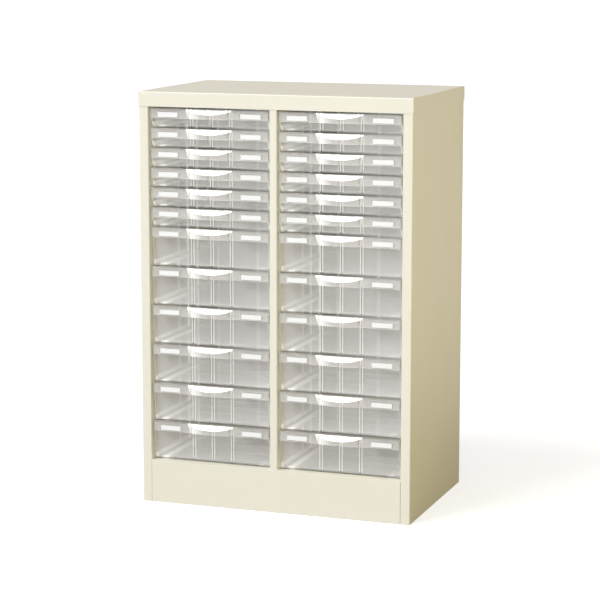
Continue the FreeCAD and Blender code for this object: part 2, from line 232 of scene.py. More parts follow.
def new_group(name, inputs, outputs):
    """An empty node group with named number inputs, each with its value at first, and named outputs."""
    tree = bpy.data.node_groups.new(name, "ShaderNodeTree")
    for label, value in inputs.items():
        socket = tree.interface.new_socket(label, in_out="INPUT", socket_type="NodeSocketFloat")
        socket.default_value = value
    for label in outputs:
        tree.interface.new_socket(label, in_out="OUTPUT", socket_type="NodeSocketFloat")
    return tree, tree.nodes.new("NodeGroupInput"), tree.nodes.new("NodeGroupOutput")


def use_group(tree, group, **values):
    """Place a group in a material with its own values."""
    return add_node(tree, "ShaderNodeGroup", {"node_tree": group}, **values)


def object_place(tree):
    """A point's place in the object's own frame, which here is the cabinet's."""
    return add_node(tree, "ShaderNodeTexCoord").outputs["Object"]


def noise(tree, place, scale, detail=2.0, roughness=0.5):
    """Cloudy noise from 0 to 1; the scale is about how many clouds there are in a metre."""
    made = add_node(tree, "ShaderNodeTexNoise", Vector=place, Scale=scale, Detail=detail, Roughness=roughness)
    return made.outputs["Fac"]


def remap(tree, source, low, high, to_low, to_high):
    """Carry the range low to high over to another range in a straight line, and hold it at both ends."""
    made = add_node(tree, "ShaderNodeMapRange", None, Value=source, From_Min=low, From_Max=high,
                    To_Min=to_low, To_Max=to_high)
    return made.outputs["Result"]


def combine(tree, operation, first, second):
    """One step of arithmetic on two numbers; a comparison gives 1 or 0."""
    made = add_node(tree, "ShaderNodeMath", {"operation": operation}, input_0=first, input_1=second)
    return made.outputs["Value"]


# %% Effect: fine ripple in a surface


def make_ripple():
    """A fine grain and a slow wave added together, as one height from 0 to about 1."""
    tree, given, result = new_group(
        "surface_ripple", {"Grain Scale": 900.0, "Wave Scale": 9.0, "Wave Share": 0.5}, ["Height"])
    place = object_place(tree)
    grain = noise(tree, place, given.outputs["Grain Scale"], detail=1.0)
    wave = noise(tree, place, given.outputs["Wave Scale"], detail=0.0)
    waves = combine(tree, "MULTIPLY", wave, given.outputs["Wave Share"])
    connect(tree, result, "Height", combine(tree, "ADD", grain, waves))
    return tree


# %% Effect: soft marks from handling


def make_marks():
    """Cloudy patches, from 0 where the surface is clean to the given amount where it is marked."""
    tree, given, result = new_group("handling_marks", {"Scale": 12.0, "Amount": 1.0}, ["Mask"])
    place = object_place(tree)
    cloud = noise(tree, place, given.outputs["Scale"], detail=4.0, roughness=0.62)
    patch = remap(tree, cloud, 0.46, 0.72, 0.0, 1.0)
    connect(tree, result, "Mask", combine(tree, "MULTIPLY", patch, given.outputs["Amount"]))
    return tree


# %% Effect: settled dust


def make_dust():
    """Dust lies where the surface faces up: the normal's upward share, broken by a fine noise."""
    tree, given, result = new_group("settled_dust", {"Scale": 260.0, "Amount": 0.3}, ["Mask"])
    facing = add_node(tree, "ShaderNodeNewGeometry").outputs["Normal"]
    upward = add_node(tree, "ShaderNodeSeparateXYZ", None, Vector=facing).outputs["Z"]
    lying = remap(tree, upward, 0.6, 1.0, 0.0, 1.0)
    specks = remap(tree, noise(tree, object_place(tree), given.outputs["Scale"], detail=3.0), 0.35, 0.75, 0.4, 1.0)
    mask = combine(tree, "MULTIPLY", lying, specks)
    connect(tree, result, "Mask", combine(tree, "MULTIPLY", mask, given.outputs["Amount"]))
    return tree


ripple_group = make_ripple()
marks_group = make_marks()
dust_group = make_dust()
print("node groups:", sorted(group.name for group in bpy.data.node_groups))

# %% [markdown]
# ## Ivory powder coat
#
# The steel is powder coated: a thick satin skin with a very fine ripple, like orange peel. Close up, the ripple
# breaks reflections; from afar, it is the sheet's own slow waves that bend them. So one bump carries both. The
# colour hardly changes over the cabinet. Faint handling marks change its gloss, and a little dust lies on top.

# %% Material: ivory powder coat


def new_material(name):
    """An empty material with its node tree and its one shader."""
    material = bpy.data.materials.new(name)
    material.use_nodes = True
    tree = material.node_tree
    shader = next(node for node in tree.nodes if node.type == "BSDF_PRINCIPLED")
    return material, tree, shader


def mixed(tree, factor, first, second):
    """Blend two colours by a mask."""
    made = add_node(tree, "ShaderNodeMix", {"data_type": "RGBA"})
    connect(tree, made, "input_0", factor)
    connect(tree, made, "input_6", first)
    connect(tree, made, "input_7", second)
    return made.outputs[2]


def add_bump(tree, shader, height, strength, distance):
    """Let a height tilt the shading; the distance is how high the full height stands, in metres."""
    bump = add_node(tree, "ShaderNodeBump", None, Height=height, Strength=strength, Distance=distance)
    tree.links.new(bump.outputs["Normal"], shader.inputs["Normal"])


IVORY = (0.82, 0.796, 0.69, 1)
IVORY_MARKED = (0.79, 0.76, 0.65, 1)
DUST = (0.80, 0.79, 0.75, 1)


def make_paint():
    """Ivory with duller marks and a little dust, under a thin clear coat."""
    material, tree, shader = new_material("ivory_powder_coat")
    marks = use_group(tree, marks_group, Scale=7.0, Amount=0.35).outputs["Mask"]
    dust = use_group(tree, dust_group, Scale=260.0, Amount=0.12).outputs["Mask"]
    coat = mixed(tree, marks, IVORY, IVORY_MARKED)
    tree.links.new(mixed(tree, dust, coat, DUST), shader.inputs["Base Color"])
    gloss = remap(tree, marks, 0.0, 1.0, 0.38, 0.55)
    tree.links.new(combine(tree, "ADD", gloss, dust), shader.inputs["Roughness"])
    shader.inputs["Coat Weight"].default_value = 0.15
    shader.inputs["Coat Roughness"].default_value = 0.3
    ripple = use_group(tree, ripple_group, Grain_Scale=1100.0, Wave_Scale=6.0, Wave_Share=2.0)
    add_bump(tree, shader, ripple.outputs["Height"], 0.25, 0.0003)
    return material


paint = make_paint()
print("paint:", paint.name, "with", len(paint.node_tree.nodes), "nodes")

# %% [markdown]
# ## Label card
#
# Each header carries two white cards in shallow pockets. Card is matt, with fibres just large enough to soften
# the light. It is almost pure white, so only the fibres' tiny change of shade keeps it from looking like paint.

# %% Material: white card


def make_card():
    """Matt white, with fibres that change its shade, gloss and height a little."""
    material, tree, shader = new_material("white_card")
    fibre = noise(tree, object_place(tree), 1800.0, detail=3.0, roughness=0.7)
    tree.links.new(mixed(tree, fibre, (0.86, 0.87, 0.88, 1), (0.90, 0.91, 0.92, 1)), shader.inputs["Base Color"])
    tree.links.new(remap(tree, fibre, 0.0, 1.0, 0.75, 0.9), shader.inputs["Roughness"])
    add_bump(tree, shader, fibre, 0.3, 0.0001)
    return material


card = make_card()
print("card:", card.name, "with", len(card.node_tree.nodes), "nodes")

# %% [markdown]
# ## The drawer moulding
#
# A drawer is one moulding: an open box whose front carries a deeper header with fingers' room behind it, two
# label pockets and a bowed pull. It could be built from plates and joined by cutting, but then its walls would
# hold seams that show in clear plastic. Here it is one grid instead. Each column of the grid stands at a place
# around the plan, and each row follows the moulding's skin: under the floor, up the front, into the room behind
# the header, down again, out over the pull, over the top and down inside.

# %% Sizes of the moulding
WALL = 0.0022
HEADER_HEIGHT = 0.0205
HEADER_OVERHANG = 0.015
LIP_REACH = 0.004
LIP_THICKNESS = 0.0025
RIB_TOP_HALF = 0.0017
RIB_FOOT_HALF = 0.0034
RIB_RISE = 0.001
RIB_SPACING = 0.0437
REAR_CORNER = 0.006
REAR_STEPS = 6
BOTTOM_CHAMFER = 0.002
INNER_CHAMFER = 0.0015
CHEEK_TOP = 0.004

BOW_TOP_HALF = 0.0513
BOW_FOOT_HALF = 0.044
BOW_REACH = 0.0075
BOW_STEP = 0.0016
BOW_DROP = 0.0114
BOW_COLUMN = 0.056
BOW_END_WALL = 0.0024

POCKET_INNER = 0.067
POCKET_OUTER = 0.118
POCKET_LOW = 0.0195
POCKET_HIGH = 0.0065
POCKET_DEPTH = 0.0009

shallow_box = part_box("tray_left_01")
deep_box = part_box("tray_left_12")
TRAY_HALF = (deep_box[1].x - deep_box[0].x) / 2
HEADER_FRONT = deep_box[0].y + BOW_REACH
TRAY_LENGTH = deep_box[1].y - HEADER_FRONT
INNER_HALF = TRAY_HALF - WALL
SHALLOW_HEIGHT = shallow_box[1].z - shallow_box[0].z
DEEP_HEIGHT = deep_box[1].z - deep_box[0].z
print("drawer, mm:", [round(1000 * size, 1) for size in (2 * TRAY_HALF, TRAY_LENGTH, SHALLOW_HEIGHT, DEEP_HEIGHT)])

# %% [markdown]
# ## Clear moulded plastic
#
# The drawers are taken for clear polystyrene. Looking straight through a wall it hardly shows, but its edges,
# ribs and thicker parts are pale and bright, because light runs along inside the wall and leaves there. Real
# refraction through the walls of twenty-four drawers is slow and noisy. So a wall hides a share of what lies
# behind it, which grows as the surface turns away from the eye, and a mask of the thicker parts adds haze and a
# faint painted glow in place of that light. The rounded edges are faces of their own, with a second material that
# is a painted highlight and glows all over.
#
# Two shortcuts are worth knowing, because no real drawer does either. The walls are clearer to light on its way
# in than to the eye, so the drawers stay bright inside, while faces that lie flat hold nearly all of it back,
# so the gaps between the drawers are dark, and the headers' tops are painted grey as shade there too. And a real
# moulding is alike on its left and right, so it is the lamps that make one side look paler, but here some of that
# is painted light in the haze itself, at the pull's left end, the low bands' front and left, and the rear wall's
# middle. It is fixed to the drawer and stays in place from every side, but under other lamps it would still show
# the old ones.

# %% Effect: thicker parts of the moulding
# Each side rib has its own haze share, partly painted light.
SIDE_RIBS = ((0.142, 0.7), (0.193, 1.15), (0.249, 1.25))
SIDE_RIB_HALF = 0.009
REAR_RIBS = (0.030, 0.034)
FLOOR_RIBS = (0.10, 0.16, 0.22, 0.28, 0.34)
LINE_HALF = 0.0014
FLOOR_RIB_HALF = 0.003
FLOOR_RIB_HAZE = 0.3
# Painted light: the rear wall is paler at its middle than at its sides.
REAR_HAZE_AND_LIGHT = 0.9
REAR_SIDE_HAZE_AND_LIGHT = 0.3
# Painted light: the pull is paler at its left end.
PULL_PAINTED_LIGHT = 1.1
# Partly a painted highlight: haze and glow that whiten the pull's sloping facets.
FACET_HAZE_AND_HIGHLIGHT = 0.7
FACET_UPRIGHT = 0.4
LYING_UPRIGHT = 0.9
FOOT_HEIGHT = 0.0095
RUNNER_INSET = 0.021
RUNNER_HALF = 0.007
FADE_LENGTH = 0.26
# Painted light: the low bands are paler at their front and at their left.
BAND_HAZE_AND_LIGHT = 0.85
BAND_FAR = 0.1
BAND_RIGHT_PAINTED_LIGHT = 0.2


def within(tree, source, centre, half):
    """1 where a value lies within half of the centre, and 0 elsewhere."""
    made = add_node(tree, "ShaderNodeMath", {"operation": "COMPARE"}, input_0=source, input_1=centre, input_2=half)
    return made.outputs["Value"]


def swelling(tree, source, centre, half):
    """1 at the centre, falling smoothly to 0 at half to either side."""
    off = combine(tree, "ABSOLUTE", combine(tree, "SUBTRACT", source, centre), 0.0)
    made = add_node(tree, "ShaderNodeMapRange", {"interpolation_type": "SMOOTHSTEP"}, Value=off,
                    From_Min=half, From_Max=0.0)
    return made.outputs["Result"]


def largest(tree, sources):
    """The greatest of several numbers, found two at a time."""
    found = sources[0]
    for source in sources[1:]:
        found = combine(tree, "MAXIMUM", found, source)
    return found


def make_thickness_and_painted_light():
    """Masks found from a point's place in its drawer, which each vertex stores as across, along and up.

    The first mask is the pull, the side walls' soft ribs and foot, the floor's runners and the rear wall: partly
    thicker plastic and partly painted light. The second is the thin ribs across the floor and down the rear wall;
    the third is the flat tops of the front ribs and the backs of the label pockets; the fourth is the top of the
    header, which gets painted shade. The shares within the first mask are chosen to look like the photograph, not
    measured, and where they differ they are painted light: the pull is haziest at its left end, the low bands at
    their left and front, the rear wall at its middle, and each side rib has a share of its own."""
    tree, _, result = new_group("moulding_thickness_and_painted_light", {}, ["Thick And Painted Light", "Line", "Thin", "Roof Painted Shade"])
    place = add_node(tree, "ShaderNodeAttribute", {"attribute_name": "in_drawer"}).outputs["Vector"]
    parts = add_node(tree, "ShaderNodeSeparateXYZ", None, Vector=place)
    across = combine(tree, "ABSOLUTE", parts.outputs["X"], 0.0)
    along, up = parts.outputs["Y"], parts.outputs["Z"]
    on_side = combine(tree, "GREATER_THAN", across, INNER_HALF - WALL / 4)
    on_floor = combine(tree, "LESS_THAN", up, WALL + WALL / 4)
    on_rear = combine(tree, "GREATER_THAN", along, TRAY_LENGTH - WALL - WALL / 4)
    on_front = combine(tree, "LESS_THAN", along, HEADER_OVERHANG + WALL)
    on_head = combine(tree, "LESS_THAN", along, WALL)

    ribs = combine(tree, "MULTIPLY", on_side, largest(tree, [
        combine(tree, "MULTIPLY", swelling(tree, along, centre, SIDE_RIB_HALF), haze)
        for centre, haze in SIDE_RIBS]))
    foot = combine(tree, "MULTIPLY", on_side, combine(tree, "LESS_THAN", up, FOOT_HEIGHT))
    runner = combine(tree, "MULTIPLY", on_floor, within(tree, across, TRAY_HALF - RUNNER_INSET, RUNNER_HALF))
    # Painted light on the low bands: paler at the front and on the left.
    painted_front_light = remap(tree, along, 0.0, FADE_LENGTH, BAND_HAZE_AND_LIGHT, BAND_FAR)
    painted_side_light = remap(tree, parts.outputs["X"], -INNER_HALF, INNER_HALF, 1.0, BAND_RIGHT_PAINTED_LIGHT)
    low_bands = combine(tree, "MULTIPLY", combine(tree, "MAXIMUM", foot, runner),
                        combine(tree, "MULTIPLY", painted_front_light, painted_side_light))
    # Painted light: the rear wall's haze is strongest at its middle.
    rear_haze_and_light = remap(tree, across, 0.0, INNER_HALF, REAR_HAZE_AND_LIGHT, REAR_SIDE_HAZE_AND_LIGHT)
    facing = add_node(tree, "ShaderNodeNewGeometry").outputs["True Normal"]
    upright = add_node(tree, "ShaderNodeSeparateXYZ", None, Vector=facing).outputs["Z"]
    on_pull = combine(tree, "LESS_THAN", along, -BOW_STEP / 2)
    # The pull's sloping facets, whitened by haze and a painted highlight.
    on_facet = combine(tree, "MULTIPLY", combine(tree, "LESS_THAN", along, -WALL / 10),
                       combine(tree, "GREATER_THAN", upright, FACET_UPRIGHT))
    # Painted light: haze and glow that make the pull's left end paler.
    pull_painted_light = remap(tree, parts.outputs["X"], -BOW_TOP_HALF, -BOW_TOP_HALF / 4, PULL_PAINTED_LIGHT, 0.0)
    connect(tree, result, "Thick And Painted Light", largest(tree, [
        ribs, low_bands, combine(tree, "MULTIPLY", on_rear, rear_haze_and_light),
        combine(tree, "MULTIPLY", on_pull, pull_painted_light), combine(tree, "MULTIPLY", on_facet, FACET_HAZE_AND_HIGHLIGHT)]))
    # The header's flat top, which the plastic paints grey as shade.
    lying = combine(tree, "GREATER_THAN", combine(tree, "ABSOLUTE", upright, 0.0), LYING_UPRIGHT)
    above = combine(tree, "MULTIPLY", on_front, combine(tree, "GREATER_THAN", up, HEADER_HEIGHT))
    connect(tree, result, "Roof Painted Shade", combine(tree, "MULTIPLY", above, lying))

    cross_lines = combine(tree, "MULTIPLY", on_floor, largest(tree, [
        within(tree, along, centre, FLOOR_RIB_HALF) for centre in FLOOR_RIBS]))
    rear_lines = combine(tree, "MULTIPLY", on_rear, largest(tree, [
        within(tree, across, centre, LINE_HALF) for centre in REAR_RIBS]))
    connect(tree, result, "Line", largest(tree, [
        combine(tree, "MULTIPLY", cross_lines, FLOOR_RIB_HAZE), rear_lines]))

    rib_tops = combine(tree, "MULTIPLY", on_front, largest(tree, [
        within(tree, across, centre, RIB_TOP_HALF) for centre in (0.0, RIB_SPACING)]))
    in_pocket = combine(tree, "MULTIPLY", combine(tree, "GREATER_THAN", across, POCKET_INNER),
                        combine(tree, "LESS_THAN", across, POCKET_OUTER))
    recess = combine(tree, "MULTIPLY", combine(tree, "GREATER_THAN", along, POCKET_DEPTH * 0.9), on_head)
    connect(tree, result, "Thin", largest(tree, [rib_tops, combine(tree, "MULTIPLY", in_pocket, recess)]))
    return tree


thickness_and_light_group = make_thickness_and_painted_light()
print("thickness masks:", [socket.name for socket in thickness_and_light_group.interface.items_tree])

# %% Material: clear plastic
CLEAR = (0.90, 0.885, 0.855, 1)
CLEAR_HAZE = (0.94, 0.93, 0.91, 1)
# Painted highlight: the whiter colour of the rounded edges.
EDGE_HIGHLIGHT_WHITE = (0.97, 0.97, 0.965, 1)
# Painted glow: the plastic's thick parts, lines and edges give off light, though no lamp is there.
PAINTED_GLOW = (0.96, 0.955, 0.94, 1)
DARK = (0, 0, 0, 1)
# Painted shade: the header's top is grey and less clear, so the gaps between the drawers look dark.
ROOF_PAINTED_SHADE = (0.58, 0.55, 0.49, 1)
ROOF_SHADE_ALPHA = 0.6
WALL_SHADE = 0.12
THICK_AND_PAINTED_LIGHT_HAZE = 0.32
LINE_HAZE = 0.3
MARKS_HAZE = 0.04
THIN_SHARE = 0.4
PAINTED_GLOW_STRENGTH = 0.35
POLYSTYRENE_IOR = 1.59
GLOSS_LEVEL = 0.6
FLOOR_SHADE = 0.95


def make_clear(name, body_colour, facing_alpha, slant_alpha, edge_painted_glow):
    """Clear plastic whose opacity runs from the facing value to the slanted one.

    Thicker parts get more haze and some painted glow, thinner parts less haze, and the header's top gets painted
    grey shade. To light on its way in, a wall has only a small share of the opacity that the eye meets, and a face
    that lies flat is nearly solid. The last argument is a painted glow that the whole material gets."""
    material, tree, shader = new_material(name)
    marks = use_group(tree, marks_group, Scale=16.0, Amount=0.5).outputs["Mask"]
    dust = use_group(tree, dust_group, Scale=420.0, Amount=0.04).outputs["Mask"]
    masks = use_group(tree, thickness_and_light_group)
    hazy = mixed(tree, marks, body_colour, CLEAR_HAZE)
    # The header's top gets painted grey shade.
    roof = masks.outputs["Roof Painted Shade"]
    tree.links.new(mixed(tree, roof, hazy, ROOF_PAINTED_SHADE), shader.inputs["Base Color"])
    slant = add_node(tree, "ShaderNodeLayerWeight", None, Blend=0.35).outputs["Facing"]
    alpha = remap(tree, slant, 0.0, 1.0, facing_alpha, slant_alpha)
    alpha = combine(tree, "MULTIPLY", alpha, remap(tree, masks.outputs["Thin"], 0.0, 1.0, 1.0, THIN_SHARE))
    for source, share in ((marks, MARKS_HAZE), (masks.outputs["Thick And Painted Light"], THICK_AND_PAINTED_LIGHT_HAZE),
                          (masks.outputs["Line"], LINE_HAZE), (dust, 1.0)):
        alpha = combine(tree, "ADD", alpha, combine(tree, "MULTIPLY", source, share))
    alpha = combine(tree, "MAXIMUM", alpha, combine(tree, "MULTIPLY", roof, ROOF_SHADE_ALPHA))
    path = add_node(tree, "ShaderNodeLightPath")
    lighting = combine(tree, "MAXIMUM", path.outputs["Is Shadow Ray"], path.outputs["Is Diffuse Ray"])
    facing = add_node(tree, "ShaderNodeNewGeometry").outputs["True Normal"]
    upright = add_node(tree, "ShaderNodeSeparateXYZ", None, Vector=facing).outputs["Z"]
    lying = combine(tree, "GREATER_THAN", combine(tree, "ABSOLUTE", upright, 0.0), LYING_UPRIGHT)
    walls = combine(tree, "MULTIPLY", alpha, WALL_SHADE)
    held = combine(tree, "MAXIMUM", walls, combine(tree, "MULTIPLY", lying, FLOOR_SHADE))
    lit = add_node(tree, "ShaderNodeMix", {"data_type": "FLOAT"}, input_0=lighting, input_2=alpha, input_3=held)
    tree.links.new(lit.outputs[0], shader.inputs["Alpha"])
    tree.links.new(remap(tree, marks, 0.0, 1.0, 0.05, 0.14), shader.inputs["Roughness"])
    shader.inputs["IOR"].default_value = POLYSTYRENE_IOR
    shader.inputs["Specular IOR Level"].default_value = GLOSS_LEVEL
    # Painted glow, not a lamp, on thick parts, lines and the rounded edges.
    painted_glow = largest(tree, [masks.outputs["Thick And Painted Light"], masks.outputs["Line"], edge_painted_glow])
    unroofed = combine(tree, "MULTIPLY", painted_glow, remap(tree, roof, 0.0, 1.0, 1.0, 0.0))
    tree.links.new(mixed(tree, unroofed, DARK, PAINTED_GLOW), shader.inputs["Emission Color"])
    shader.inputs["Emission Strength"].default_value = PAINTED_GLOW_STRENGTH
    ripple = use_group(tree, ripple_group, Grain_Scale=300.0, Wave_Scale=22.0, Wave_Share=3.0)
    add_bump(tree, shader, ripple.outputs["Height"], 0.02, 0.0004)
    return material


clear = make_clear("clear_polystyrene", CLEAR, 0.26, 0.34, 0.0)
# The rounded edges get a painted highlight: whiter, less clear and glowing.
clear_edge_highlight = make_clear("clear_polystyrene_edge_highlight", EDGE_HIGHLIGHT_WHITE, 0.65, 0.85, 0.5)
print("plastics:", clear.name, clear_edge_highlight.name, "with", len(clear.node_tree.nodes), "nodes each")

# %% [markdown]
# ## The moulding's grid
#
# The front is the drawer's busiest part: three ribs, a pull with slanted ends, two label pockets, and cheeks at
# the sides. A moulding usually has one even wall, which a sculpted block would lose. So the grid's columns are
# chosen first, two at each step in the skin, and each row then gives every column its reach and level. The
# inner rows are the outer ones moved back by the wall, so the pull is hollow and fingers go up behind it.

# %% Columns across the front
# Each column has its place, and then 1 or 0 for: on a rib, in the bow, in a label pocket, over the finger room.
# A step in the skin is a pair of columns at one place.
bow_places = np.linspace(RIB_FOOT_HALF, RIB_SPACING - RIB_FOOT_HALF, 8)
half_front = np.array(
    [(0, 1, 1, 0, 1), (RIB_TOP_HALF, 1, 1, 0, 1)]
    + [(place, 0, 1, 0, 1) for place in bow_places]
    + [
        (RIB_SPACING - RIB_TOP_HALF, 1, 1, 0, 1), (RIB_SPACING + RIB_TOP_HALF, 1, 1, 0, 1),
        (RIB_SPACING + RIB_FOOT_HALF, 0, 1, 0, 1),
        (BOW_COLUMN, 0, 1, 0, 1), (BOW_COLUMN, 0, 0, 0, 1),
        (POCKET_INNER, 0, 0, 0, 1), (POCKET_INNER, 0, 0, 1, 1),
        (POCKET_OUTER, 0, 0, 1, 1), (POCKET_OUTER, 0, 0, 0, 1),
        (INNER_HALF, 0, 0, 0, 1), (INNER_HALF, 0, 0, 0, 0), (TRAY_HALF, 0, 0, 0, 0),
    ])
mirrored_half = half_front[:0:-1] * np.array([-1, 1, 1, 1, 1])
front_columns = np.concatenate([mirrored_half, half_front])
print("columns across the front:", len(front_columns))

# %% The bowed pull


def bow_end(level, height):
    """Half the pull's width at a level: it narrows in a straight line from the header's top to its foot."""
    return BOW_TOP_HALF - (BOW_TOP_HALF - BOW_FOOT_HALF) * (height - level) / HEADER_HEIGHT


def bow_curve(across):
    """How far the pull stands out: a circle's arc, with its crown at full reach and its ends at the step."""
    rise = BOW_REACH - BOW_STEP
    radius = (BOW_TOP_HALF ** 2 + rise ** 2) / (2 * rise)
    return BOW_REACH - radius + np.sqrt(radius ** 2 - across ** 2)


def bow_facet(level, height):
    """How far the sloping facet lets the pull stand out: nothing at the top, full reach at the drop."""
    return (height - level) * BOW_REACH / BOW_DROP


def head_across(places, level, height):
    """Where the columns stand on the header: within the bow they close up as its ends slant in."""
    share = places / BOW_COLUMN
    return np.where(np.abs(share) <= 1, share * bow_end(level, height), places)


def stand_out(places, in_bow, level, height):
    """The pull's reach at each column: the lesser of the arc and the facet, and nothing outside the bow."""
    across = head_across(places, level, height)
    reach = np.minimum(bow_curve(np.clip(across, -BOW_TOP_HALF, BOW_TOP_HALF)), bow_facet(level, height))
    return in_bow * reach


def crease_level(places, height):
    """Where the facet meets the arc. The arc's reach depends on the level through the slanted ends, so the
    level is found by putting each answer back in a few times."""
    share = np.clip(places / BOW_COLUMN, -1, 1)
    level = np.full(len(places), height - BOW_DROP)
    for _ in range(12):
        level = height - bow_curve(share * bow_end(level, height)) * BOW_DROP / BOW_REACH
    return level


print("pull stands out, mm:", round(1000 * BOW_REACH, 1), "at its crown,", round(1000 * BOW_STEP, 1), "at its ends")

# %% Rows over the front


def front_rows(height):
    """Points of every row at the front columns, from under the floor to the inside of the box."""
    places, rib, in_bow, in_pocket, open_room = front_columns.T
    near_bow = np.abs(places) <= BOW_COLUMN
    skirt = height - HEADER_HEIGHT
    ceiling = height - WALL
    crease = crease_level(places, height)
    cheek = open_room == 0
    lip_face = HEADER_OVERHANG - LIP_REACH

    def face(along, level_share):
        """A wall's reach, but on the cheeks a line that slants forward from the lip to the header."""
        return np.where(cheek, lip_face + (CHEEK_TOP - lip_face) * level_share, along)

    def row(across, along, level):
        return np.stack(np.broadcast_arrays(across, along, level), -1).astype(float)

    def inside(level):
        """Behind the header: the outer skin moved back by the wall, its ends drawn in by an end wall."""
        end = bow_end(level, height)
        across = head_across(places, level, height)
        across = np.where(near_bow, across * (end - BOW_END_WALL) / end, across)
        along = WALL - stand_out(places, in_bow, level, height)
        pinned = row(places, WALL, skirt)
        return np.where(open_room[:, None] > 0, row(across, along, level), pinned)

    def outside(bow_level, flat_level, in_recess):
        """On the header's face: rows follow the crease within the bow and the label pockets beside it."""
        level = np.where(near_bow, bow_level, flat_level)
        along = POCKET_DEPTH * in_pocket * in_recess - stand_out(places, in_bow, level, height)
        return row(head_across(places, level, height), along, level)

    roof = np.where(open_room > 0, ceiling, skirt)
    middle = np.where(np.abs(places) < INNER_HALF - WELD, (crease + skirt) / 2, ceiling)
    upper = np.where(np.abs(places) < INNER_HALF - WELD, crease, ceiling)
    rise = crease - skirt
    inner_across = np.clip(places, -INNER_HALF, INNER_HALF)
    inner_front = HEADER_OVERHANG + WALL
    floor_half = INNER_HALF - INNER_CHAMFER
    foot_half = TRAY_HALF - BOTTOM_CHAMFER
    return [
        row(np.clip(places, -foot_half, foot_half), lip_face, 0.0),
        row(places, lip_face, LIP_THICKNESS),
        row(places, face(HEADER_OVERHANG - RIB_RISE, 0), LIP_THICKNESS),
        row(places, face(HEADER_OVERHANG - RIB_RISE * rib, 0), LIP_THICKNESS),
        row(places, face(HEADER_OVERHANG - RIB_RISE * rib, 1), skirt),
        row(places, face(HEADER_OVERHANG - RIB_RISE * rib, 1), roof),
        row(places, face(HEADER_OVERHANG - RIB_RISE, 1), roof),
        inside(np.full(len(places), ceiling)),
        inside(upper),
        inside(middle),
        inside(np.full(len(places), skirt)),
        outside(skirt, skirt, 0),
        outside(skirt + 0.25 * rise, height - POCKET_LOW, 0),
        outside(skirt + 0.5 * rise, height - POCKET_LOW, 1),
        outside(skirt + 0.75 * rise, height - POCKET_HIGH, 1),
        outside(crease, height - POCKET_HIGH, 0),
        outside(height, height, 0),
        row(inner_across, inner_front, height),
        row(inner_across, inner_front, WALL + INNER_CHAMFER),
        row(np.clip(places, -floor_half, floor_half), inner_front + INNER_CHAMFER, WALL),
    ]


# %% Rows round the sides and the back


def side_outline(half, first_places, corner, level):
    """The right side from front to back, then the rear corner's arc, then the same mirrored."""
    turn = np.linspace(0, math.pi / 2, REAR_STEPS + 1)
    inset = TRAY_HALF - half
    centre = (TRAY_HALF - inset - corner, TRAY_LENGTH - inset - corner)
    straight = np.stack([np.full(len(first_places), half), first_places], -1)
    arc = np.stack([centre[0] + corner * np.cos(turn), centre[1] + corner * np.sin(turn)], -1)
    plan = np.concatenate([straight, arc])
    plan = np.concatenate([plan, plan[::-1] * np.array([-1, 1])])
    return np.concatenate([plan, np.full((len(plan), 1), level)], -1)


def side_rows(height):
    """Points of the same rows along the sides and round the rear corners.

    The side's first columns stand where the front's rows step back and forth, so that the two meet."""
    skirt = height - HEADER_HEIGHT
    pocket_low = height - POCKET_LOW
    pocket_high = height - POCKET_HIGH
    lip = HEADER_OVERHANG - LIP_REACH
    step_back = np.array([WALL, CHEEK_TOP, lip])
    fronts = [lip] * 4 + [CHEEK_TOP] * 3 + [WALL] * 4 + [0] * 6
    levels = [0] + [LIP_THICKNESS] * 3 + [skirt] * 8 + [pocket_low, pocket_low, pocket_high, pocket_high, height]
    insets = [BOTTOM_CHAMFER] + [0] * 16
    rows = [
        side_outline(TRAY_HALF - inset, np.maximum(step_back, front), REAR_CORNER - inset, level)
        for front, level, inset in zip(fronts, levels, insets)
    ]
    inner_front = np.full(len(step_back), HEADER_OVERHANG + WALL)
    inner_corner = REAR_CORNER - WALL
    rows.append(side_outline(INNER_HALF, inner_front, inner_corner, height))
    rows.append(side_outline(INNER_HALF, inner_front, inner_corner, WALL + INNER_CHAMFER))
    floor_front = inner_front + INNER_CHAMFER
    rows.append(side_outline(INNER_HALF - INNER_CHAMFER, floor_front, inner_corner - INNER_CHAMFER, WALL))
    return rows


# %% Make the two mouldings
EDGE_ROUND = 0.0004
SLANT_LEAST = 0.6
SLANT_MOST = 0.95
SLANT_WIDTH = 0.004


def add_places(mesh):
    """Store each vertex's place in the drawer, which stays the same when the drawer is put in its column."""
    places = np.empty(len(mesh.vertices) * 3, np.float32)
    mesh.vertices.foreach_get("co", places)
    mesh.attributes.new("in_drawer", "FLOAT_VECTOR", "POINT").data.foreach_set("vector", places)


def moulding(name, height):
    """One drawer's closed skin: the front's points and the sides' points of each row make one loop."""
    rows = [np.concatenate(pair) for pair in zip(front_rows(height), side_rows(height))]
    mesh = surface(name, np.stack(rows))
    for material in (clear, clear_edge_highlight):
        mesh.materials.append(material)
    mark_slanted(mesh, SLANT_LEAST, SLANT_MOST, SLANT_WIDTH, WALL + INNER_CHAMFER)
    rounded = finished(mesh, EDGE_ROUND, 1)
    add_places(rounded)
    sides = np.zeros(len(rounded.edges), int)
    loop_edges = np.empty(len(rounded.loops), np.int32)
    rounded.loops.foreach_get("edge_index", loop_edges)
    np.add.at(sides, loop_edges, 1)
    print(name, "faces:", len(mesh.polygons), "then", len(rounded.polygons), "open edges:", int((sides != 2).sum()))
    return rounded


shallow_moulding = moulding("shallow_moulding", SHALLOW_HEIGHT)
deep_moulding = moulding("deep_moulding", DEEP_HEIGHT)

# %% Put a moulding in each drawer's place
for name in sorted(fixed_nodes):
    if not name.startswith("tray_"):
        continue
    low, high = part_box(name)
    mould = shallow_moulding if high.z - low.z < (SHALLOW_HEIGHT + DEEP_HEIGHT) / 2 else deep_moulding
    place = ((low.x + high.x) / 2, HEADER_FRONT, low.z)
    made = piece(name.replace("tray", "drawer"), mould, name.replace("tray", "drawer"), [name], place)

